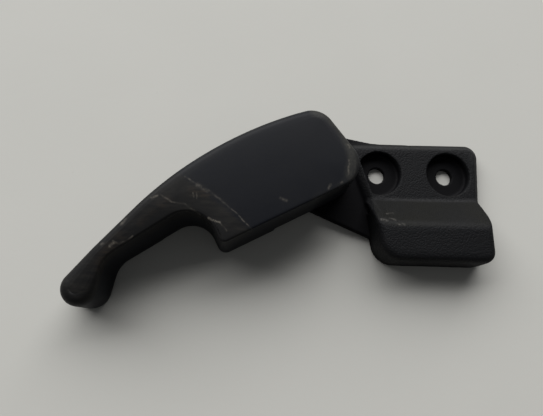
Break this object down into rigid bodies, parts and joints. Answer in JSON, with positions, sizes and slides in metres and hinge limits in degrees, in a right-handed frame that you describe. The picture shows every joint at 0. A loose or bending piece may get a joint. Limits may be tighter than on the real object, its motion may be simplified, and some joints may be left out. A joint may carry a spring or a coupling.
{
  "type": "hood release handle",
  "caption": "Black moulded lever with a hooked finger grip, pivoting on a moulded bracket with two recessed screw holes and a raised cable box.",
  "frame": {"origin": "middle between the two screw holes, on the bracket's back face", "axes": "+X along the two holes, away from the lever; +Y away from the cable box; +Z out of the panel, along the screws, towards the user"},
  "size_m": [0.1656, 0.0753, 0.025],
  "materials": {
    "grained_plastic": "fine moulded grain, dusty on the upper slopes",
    "satin_plastic": "smooth satin, scuffed at the rim and creases",
    "steel": "zinc plated",
    "washer_plastic": "natural slip plastic"
  },
  "bodies": {
    "bracket": {"bracket": "grained_plastic", "slip_washer": "washer_plastic", "return_spring": "steel"},
    "lever": {"lever": "satin_plastic", "pivot_pin": "steel", "retainer": "steel"}
  },
  "joints": [
    {"name": "lever_pivot", "type": "hinge", "parent": "bracket", "child": "lever", "pos_m": [-0.047, 0.001, 0], "axis": [0, 0, -1], "range_deg": [0, 38], "stiffness_Nm_per_rad": 0.25, "springref_deg": -20.05, "deforming": ["return_spring"]}
  ]
}
